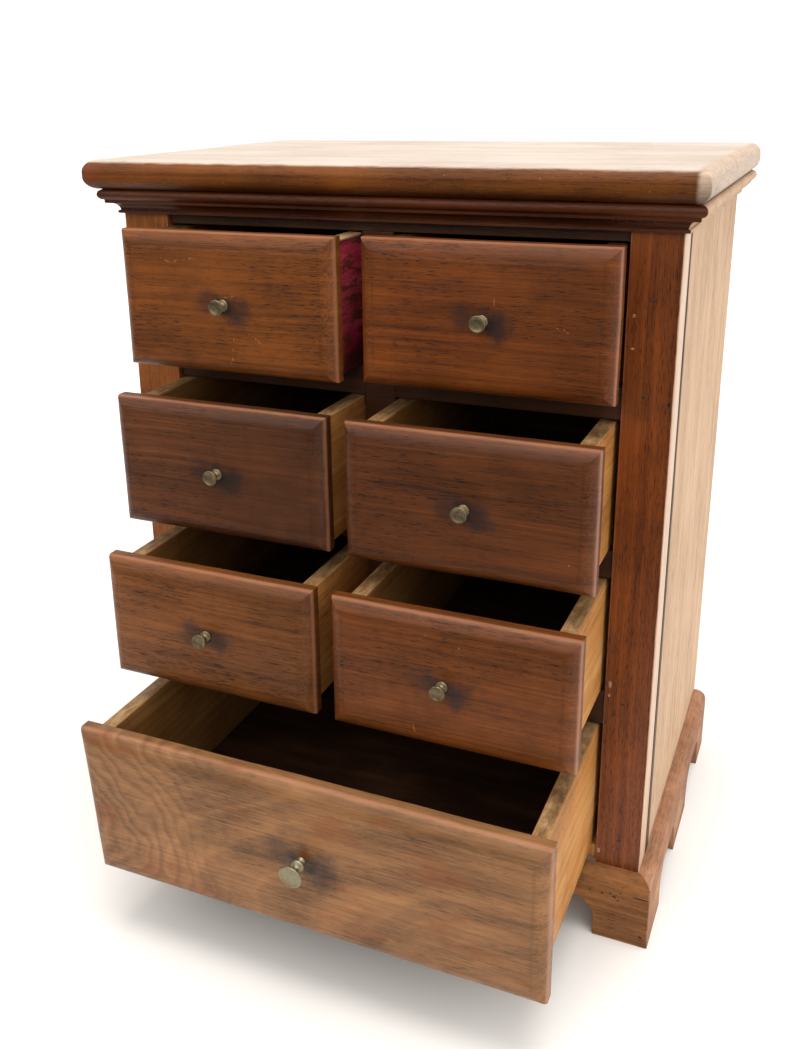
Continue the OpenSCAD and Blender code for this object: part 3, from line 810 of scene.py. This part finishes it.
def wild_end(m):
    """Nested curved lines that cross the left third of the wide front, and rusty patches."""
    low, _ = box_mm(f"drawer_{WIDE}_front")
    x, _, z = m.split(m.place())
    bend = m.noise(m.place(), (0.022,) * 3, detail=2.0, rough=0.5)
    shake = m.noise(m.place(), (0.12,) * 3, detail=3.0, rough=0.6)
    out = m.minus(x, low.x - 18.0)
    rise = m.times(m.minus(z, low.z + 30.0), 1.25)
    radius = m.vec("LENGTH", m.join(out, rise, 0.0))
    radius = m.plus(radius, m.plus(m.times(bend, 46.0), m.times(shake, 3.6)))
    ring = m.math("FRACT", m.math("DIVIDE", radius, WILD_STEP))
    there = m.smooth(m.plus(x, m.times(bend, 60.0)), low.x + WILD_GONE, low.x + WILD_FULL)
    line = m.smooth(m.math("ABSOLUTE", m.minus(ring, 0.3)), 0.26, 0.0)
    m.tint(m.times(there, m.times(line, 0.3)), srgb(70, 38, 18))
    m.tint(m.times(there, m.times(m.smooth(ring, 0.55, 1.0), 0.16)), srgb(176, 130, 84))
    rusty = m.noise(m.place(), (0.02, 0.03, 0.05), detail=4.0, rough=0.6)
    m.tint(m.times(m.smooth(rusty, 0.54, 0.66), 0.4), srgb(122, 62, 26))


WORN = srgb(176, 132, 108)
WALNUT = shades(120, 62, 25)
BROWN = shades(84, 40, 15)
DIM = shades(66, 37, 18)
PALE = (srgb(158, 124, 94), srgb(192, 158, 126), srgb(210, 180, 150))
PINE = (srgb(140, 88, 40), srgb(178, 120, 60), srgb(204, 152, 92))
SHADED = (srgb(34, 19, 10), srgb(56, 33, 18), srgb(80, 50, 28))
PLINTH = shades(138, 90, 50)
PLINTH_FADED = (srgb(118, 78, 52), srgb(158, 112, 82), srgb(190, 148, 118))
CRIMSON = (srgb(124, 26, 46), srgb(190, 50, 82), srgb(212, 98, 114))


def bleach_and_highlight_top(m, z, high, ragged):
    """The grey, faded upper face, which reaches down the top of the round front edge as a painted
    highlight; returns where it is.
    """
    faded = m.ramp(m.mottle, ((0.3, srgb(186, 166, 150)), (0.5, srgb(194, 178, 164)),
                              (0.7, srgb(202, 188, 176))))
    faded = m.mix(m.times(m.pores, 0.2), faded, srgb(150, 112, 86))
    # faded upper face, and a painted highlight where it runs down the upper part of the round edge
    bare = m.smooth(m.plus(z, m.times(ragged, 0.35)), high.z - 2.2, high.z - 0.6)
    m.tint(bare, faded)
    return bare


def bleach_end(m, place, low, high, ragged, shaded_underside):
    """The faded right end, sootier low down towards the front."""
    x, y, z = place
    end = m.smooth(m.plus(x, m.times(ragged, 0.5)), high.x - 7.5, high.x - 4.5)
    grain = m.noise(m.place(), (0.1, 0.15, 0.6), 4.0, 0.6)
    tone = m.ramp(grain, ((0.3, srgb(166, 140, 118)), (0.5, srgb(184, 159, 137)),
                          (0.7, srgb(192, 170, 150))))
    # painted shade: the end fades less along its underside
    m.tint(m.times(end, m.minus(1.0, m.times(shaded_underside, 0.5))), tone)
    front = m.smooth(m.plus(y, m.times(ragged, 4.0)), low.y + 52, low.y + 14)
    low_down = m.smooth(m.plus(z, ragged), high.z - 4, low.z + 3)
    soot = m.times(m.times(end, front), low_down)
    m.tint(m.times(soot, 0.5), srgb(110, 92, 78))


def top_wood():
    """Golden brown on the front, redder at the left end, bleached on its upper face and right end, with a
    painted highlight along the top of the round edge and painted shade along its underside.
    """
    m = Wood("top_board", "X", *shades(108, 58, 13), seed=11, coat=0.05,
             warp=5.0, band_share=0.15, streak_share=0.2, contour=0.05)
    low, high = box_mm("top_board")
    x, y, z = m.split(m.place())
    ragged = m.times(m.minus(m.noise(m.place(), (0.08, 0.5, 0.5), 4.0, 0.7), 0.5), 5.0)
    left = m.smooth(m.plus(x, ragged), low.x + 16, low.x + 3)
    m.tint(m.times(left, 0.6), srgb(120, 58, 34))
    m.tint(m.times(left, m.smooth(m.streak, 0.58, 0.72)), srgb(166, 112, 78))
    # painted shade along the underside of the front edge
    shaded_underside = m.smooth(m.plus(z, ragged), low.z + 5.5, low.z + 1.0)
    m.tint(m.times(shaded_underside, 0.75), srgb(60, 28, 14))
    bare = bleach_and_highlight_top(m, z, high, ragged)
    bleach_end(m, (x, y, z), low, high, ragged, shaded_underside)
    speck = m.noise(m.place(), (0.9,) * 3, 2.0)
    m.tint(m.times(m.smooth(speck, 0.68, 0.74), 0.22), srgb(214, 160, 104))
    m.rough = m.plus(m.rough, m.times(bare, 0.12))
    return m.done()


def side_wood(name, palette, seed):
    return Wood(name, "Z", *palette, seed=seed, warp=4.0, band_share=0.25, streak_share=0.5, pore_depth=0.4,
                pore_size=(0.1, 2.2), contour=0.1, rough=0.6, coat=0.0, clouds=0.15)


def side_board_wood(name, palette, seed, outer):
    """Side board, black at its open joint with dirt and painted shade of the crack.

    outer names the distance from its outer face: near on the left board, far on the right."""
    m = side_wood(name, palette, seed)
    _, y, z = m.split(m.place())
    low, high = box_mm("side_right")
    by_joint = m.smooth(y, low.y + JOINT_WIDTH + 2.0, low.y + JOINT_WIDTH)
    m.tint(m.times(m.smooth(m.from_face(outer, 0), 0.5, 1.0), by_joint), CRACK_DIRT_AND_SHADE)
    wider_below = m.times(m.minus(high.z, z), JOINT_SPREAD)
    ragged = m.times(m.noise(m.place(), (0.1, 0.3, 0.05), 3.0), 2.4)
    # painted shade of a crack that widens downwards, drawn on the outer face
    painted_crack_gap = m.minus(m.minus(y, low.y + JOINT_WIDTH), m.plus(wider_below, ragged))
    m.tint(m.times(m.smooth(painted_crack_gap, 1.2, 0.0), 0.85), CRACK_DIRT_AND_SHADE)
    return m.done()


def stile_wood(name, node, seed, palette, bare_right):
    """Reddish stile with worn edges, bleached on its outer face where bare_right says so."""
    m = Wood(name, "Z", *palette, seed=seed, warp=5.0, band_share=0.3, streak_share=0.35, pore_depth=0.8)
    if bare_right:
        outer = box_mm(node)[1].x
        ragged = m.noise(m.place(), (0.4, 0.4, 0.05), 4.0, 0.65)
        edge = m.plus(m.split(m.place())[0], m.times(m.minus(ragged, 0.5), 1.4))
        bare = m.ramp(m.streak, ((0.35, srgb(176, 138, 108)), (0.5, srgb(200, 164, 134)),
                                 (0.65, srgb(214, 182, 152))))
        m.tint(m.smooth(edge, outer - 0.8, outer - 0.2), bare)
    m.worn_edges(WORN, 0.45, 0.5)
    # dirt and painted shade of the crack along the stile's back edge
    m.tint(m.smooth(m.from_face("far", 1), 0.7, 0.2), CRACK_DIRT_AND_SHADE)
    return m.done()


def plinth_wood(name, grain, seed, palette=PLINTH):
    """Knocked about near the floor, with a rubbed upper edge."""
    m = Wood(name, grain, *palette, seed=seed, pore_depth=0.6, contour=0.1, rough=0.68, coat=0.0)
    z = m.split(m.place())[2]
    upper = box_mm("plinth_front")[1].z
    dusty = m.noise(m.place(), (0.12, 0.12, 0.3), 4.0, 0.7)
    topmost = m.times(m.smooth(z, upper - 5.0, upper - 1.5), m.smooth(dusty, 0.36, 0.6))
    m.tint(m.times(topmost, 0.5), dimmed(palette[1], 0.6))
    m.tint(m.times(m.smooth(dusty, 0.52, 0.68), 0.3), dimmed(palette[1], 0.45))
    ragged = m.times(m.noise(m.place(), (0.07,) * 3, 4.0, 0.7), 10.0)
    dirty = m.smooth(m.minus(z, ragged), 6.0, -4.0)
    m.tint(m.times(dirty, 0.35), srgb(60, 34, 22))
    return m.worn_edges(WORN, 0.8, 0.6).done()


def box_wood(name, palette, seed):
    """Drawer sides: painted shade on the inner face, grimy on top with rubbed corners, and painted shade on
    the tops in the first row.
    """
    m = Wood(name, "Y", *palette, seed=seed, coat=0.08, rough=0.5, pore_depth=0.35, contour=0.2)
    # painted shade darkening the inner face of the side
    m.tint(m.times(m.smooth(m.from_face("far", 0), 0.9, 0.3), 0.55), srgb(52, 30, 12))
    grime = m.noise(m.place(), (0.25, 0.09, 0.25), 5.0, 0.7)
    top = m.smooth(m.minus(m.from_face("far", 2), m.times(grime, 2.2)), 0.5, -0.6)
    m.tint(m.times(top, 0.8), m.ramp(grime, ((0.35, srgb(74, 56, 38)), (0.5, srgb(122, 98, 68)),
                                             (0.66, srgb(164, 136, 98)))))
    rubbed = m.smooth(m.from_faces()[0], 1.4, 0.3)
    m.tint(m.times(m.times(top, rubbed), 0.6), srgb(164, 110, 60))
    highest = box_mm("drawer_1_side_left")[1].z
    in_shade = m.smooth(m.split(m.place())[2], highest - 1.2, highest - 0.3)
    m.tint(m.times(in_shade, 0.75), srgb(46, 32, 20))
    return m


def stained_wood():
    """The crimson stain that one drawer side took, brown in patches and dark high up and low down."""
    m = box_wood("box_stained", CRIMSON, 25)
    low, high = box_mm("drawer_1_side_right")
    z = m.split(m.place())[2]
    patch = m.noise(m.place(), (0.06, 0.05, 0.16), 5.0, 0.7)
    m.tint(m.smooth(patch, 0.50, 0.58), srgb(112, 50, 38))
    upper = m.plus(z, m.times(patch, 14.0))
    m.tint(m.times(m.smooth(upper, high.z + 1.0, high.z + 5.0), 0.7), srgb(72, 40, 26))
    m.tint(m.times(m.smooth(patch, 0.46, 0.38), 0.7), srgb(60, 14, 24))
    lower = m.minus(z, m.times(patch, 26.0))
    m.tint(m.times(m.smooth(lower, low.z + 12, low.z - 12), 0.85), srgb(52, 22, 16))
    m.tint(m.smooth(z, high.z - 1.4, high.z - 0.6), srgb(176, 140, 100))
    return m.done()


def cornice_wood(name, grain, seed):
    return Wood(name, grain, *BROWN, seed=seed, coat=0.1).worn_edges(WORN, 0.4, 0.4).done()


def case_woods():
    """The materials of the case and the drawer boxes, by slot."""
    return {
        "top_board": top_wood(),
        "cornice_front": cornice_wood("cornice_f", "X", 12),
        "cornice_left": cornice_wood("cornice_l", "Y", 13),
        "cornice_right": side_wood("cornice_r", PALE, 14).done(),
        "stile_left": stile_wood("stile_l", "stile_left", 15, shades(142, 82, 33), False),
        "stile_right": stile_wood("stile_r", "stile_right", 16, shades(118, 60, 21), True),
        "side_left": side_board_wood("side_l", WALNUT, 17, "near"),
        "side_right": side_board_wood("side_r", PALE, 18, "far"),
        "inner_pine": Wood("pine", "Z", *PINE, seed=19, coat=0.0, rough=0.6, pore_depth=0.3,
                           streak_share=0.5, clouds=0.2).done(),
        "frame_inner": Wood("frame_in", "X", *DIM, seed=20).done(),
        "plinth_front": plinth_wood("plinth_f", "X", 21),
        "plinth_left": plinth_wood("plinth_l", "Y", 22),
        "plinth_right": plinth_wood("plinth_r", "Y", 23, PLINTH_FADED),
        "drawer_side": box_wood("box_side", PINE, 24).done(),
        "drawer_side_stained": stained_wood(),
        "drawer_inside": Wood("box_in", "X", *SHADED, seed=26, coat=0.0, rough=0.65).done(),
    }


# ---------------------------------------------------------------- nails, filler and a crack


# How each rim of a spot lies: its share of the spot's size and its height off the face in millimetres
SPOT_RIMS = ((1.0, 0.02), (0.75, 0.09), (0.35, 0.11))
SPOT_FACETS = 14
FORWARD = Vector((0, -1, 0))


def rough_spots(name, spots, material):
    """Small uneven discs on forward faces, each a centre and a width and height in millimetres."""
    bm = bmesh.new()
    for n, (centre, wide, high) in enumerate(spots):
        rims = []
        for share, lift in SPOT_RIMS:
            rim = []
            for i in range(SPOT_FACETS):
                a = math.tau * i / SPOT_FACETS
                east, up = math.cos(a), math.sin(a)
                ragged = 1.0 + 0.3 * noise.noise(Vector((east * 1.7, up * 1.7, n * 3.3 + 0.5)))
                out = Vector((east * wide / 2, 0, up * high / 2))
                rim.append(bm.verts.new(centre + out * MM * share * ragged + FORWARD * lift * MM))
            rims.append(rim)
        for a, b in zip(rims, rims[1:]):
            for i in range(SPOT_FACETS):
                j = (i + 1) % SPOT_FACETS
                bm.faces.new((a[i], a[j], b[j], b[i]))
        bm.faces.new(rims[-1])
    bmesh.ops.recalc_face_normals(bm, faces=bm.faces[:])
    obj = to_object(bm, name, material, sharp=60)
    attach(obj, "case")
    return obj


def spot_material(name, dark, light, rough):
    """Iron, filler or the painted shade inside holes and cracks, mottled between two tones."""
    m = Tree(name)
    grime = m.noise(m.place(), (1.3,) * 3, detail=3.0, rough=0.6)
    m.put(m.shader.inputs["Base Color"], m.ramp(grime, ((0.35, dark), (0.65, light))))
    m.put(m.shader.inputs["Roughness"], m.plus(rough - 0.1, m.times(grime, 0.2)))
    return m.material


# Spots in millimetres. On the stile: right of its left edge, above the floor, width, height
STILE_NAILS = ((13.5, 376, 3.0, 1.0), (10.7, 327.5, 1.7, 1.7), (10.5, 151.8, 2.0, 1.8),
               (12.6, 62.6, 2.2, 1.6))
STILE_CORNER_NAIL = ((23.6, 325, 1.6, 2.4),)
STILE_FILLER = ((3.8, 368.5, 1.5, 1.9), (3.8, 352, 2.0, 1.4), (2.8, 163, 1.8, 5.0), (2.6, 156, 1.4, 2.2),
                (1.7, 53, 2.0, 3.4))
# On the plinth: left of its right end, above the floor, width, height
PLINTH_HOLES = ((27.4, 30.9, 1.6, 1.0), (22.9, 32.3, 1.3, 0.9), (20.4, 30.4, 2.2, 1.2),
                (18.3, 28.6, 1.5, 0.8), (34.5, 31.2, 1.1, 0.8), (17.0, 33.8, 0.9, 0.9),
                (4.3, 7.0, 2.2, 1.6), (308.6, 31.0, 1.4, 1.1), (318.1, 12.0, 1.1, 1.1))
PLINTH_CRACK = ((5.0, 33.4, 9.6, 0.9),)
# On the cornice: left of its right end, width; all of them in one line along the moulding
CORNICE_HOLES = ((43.8, 1.0), (40.8, 0.8), (37.2, 1.3), (31.2, 1.8), (26.6, 1.0), (24.6, 1.6))
CORNICE_HOLE_BACK, CORNICE_HOLE_UP, CORNICE_HOLE_HIGH = 2.4, 5.8, 0.9


def marks():
    """Nail heads and filler over sunk nails, with painted shade for the worm holes, nail holes and the
    crack at the corner of the plinth.
    """
    iron = spot_material("old_nails", srgb(12, 9, 8), srgb(44, 32, 26), 0.6)
    filler = spot_material("filler", srgb(120, 84, 62), srgb(170, 134, 108), 0.7)
    # painted shade: near-black discs stand for the dark inside of the holes and the plinth's crack
    hole_shade = spot_material("holes", srgb(6, 4, 3), srgb(20, 13, 10), 0.9)
    stile, plinth, cornice = (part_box(node) for node in ("stile_right", "plinth_front", "cornice_front"))

    def on_stile(items):
        return [(Vector((stile[0].x + x * MM, stile[0].y, z * MM)), w, h) for x, z, w, h in items]

    def on_plinth(items):
        return [(Vector((plinth[1].x - x * MM, plinth[0].y, z * MM)), w, h) for x, z, w, h in items]

    rough_spots("stile_nails", on_stile(STILE_NAILS), iron)
    rough_spots("stile_corner_nail", on_stile(STILE_CORNER_NAIL), hole_shade)
    rough_spots("stile_filler", on_stile(STILE_FILLER), filler)
    rough_spots("plinth_nails", on_plinth(PLINTH_HOLES), hole_shade)
    rough_spots("plinth_crack", on_plinth(PLINTH_CRACK), hole_shade)
    y, z = cornice[0].y + CORNICE_HOLE_BACK * MM, cornice[0].z + CORNICE_HOLE_UP * MM
    on_cornice = [(Vector((cornice[1].x - x * MM, y, z)), w, CORNICE_HOLE_HIGH) for x, w in CORNICE_HOLES]
    rough_spots("cornice_holes", on_cornice, hole_shade)


# ---------------------------------------------------------------- the pieces

OWN_SLOTS = ("top_board", "cornice_front", "cornice_left", "cornice_right", "stile_left", "stile_right",
             "side_left", "side_right", "plinth_front", "plinth_left", "plinth_right")
INNER_BOARDS = ("back_panel", "bottom_board", "centre_partition", "drawer_runners")
INNER_FRAME = ("top_rail", "centre_post", "drawer_dividers")
CASE_SLOTS = ({node: node for node in OWN_SLOTS} | {node: "inner_pine" for node in INNER_BOARDS}
              | {node: "frame_inner" for node in INNER_FRAME})
CORNER_SHORT = 6.3 * MM  # how far the wide front's lower left corner falls short


def case(woods):
    for i, (node, slot) in enumerate(CASE_SLOTS.items()):
        moulded = node.startswith(("top_board", "cornice"))
        softened(node, woods[slot], wobble_mm=0.05 if moulded else 0.12, seed=1.0 + i)


def drawer_box(n, woods):
    for part in ("side_left", "side_right", "back", "bottom"):
        slot = "drawer_side" if part.startswith("side") else "drawer_inside"
        if n == 1 and part == "side_right":
            slot = "drawer_side_stained"
        softened(f"drawer_{n}_{part}", woods[slot], 0.6, 0.15, seed=20.0 + n,
                 inner_low=part == "side_right")


def build():
    """Every node's finer piece: the case, then each drawer's front, knob and box."""
    woods = case_woods()
    case(woods)
    front = fronts()
    small = aged_brass("brass_small", srgb(104, 92, 70), srgb(134, 116, 88), srgb(56, 48, 38), 3.0)
    large = aged_brass("brass_large", srgb(138, 138, 116), srgb(142, 124, 96), srgb(96, 84, 64), 7.0)
    for n in range(1, WIDE + 1):
        if n == WIDE:
            drawer_front(n, front[n], float(n), CORNER_SHORT)
            knob(n, large, LARGE_KNOB_SECTION, KNOB_SAG)
        else:
            drawer_front(n, front[n], float(n))
            knob(n, small, KNOB_SECTION, 0.0)
        drawer_box(n, woods)


camera()
studio()
floor()
build()
marks()
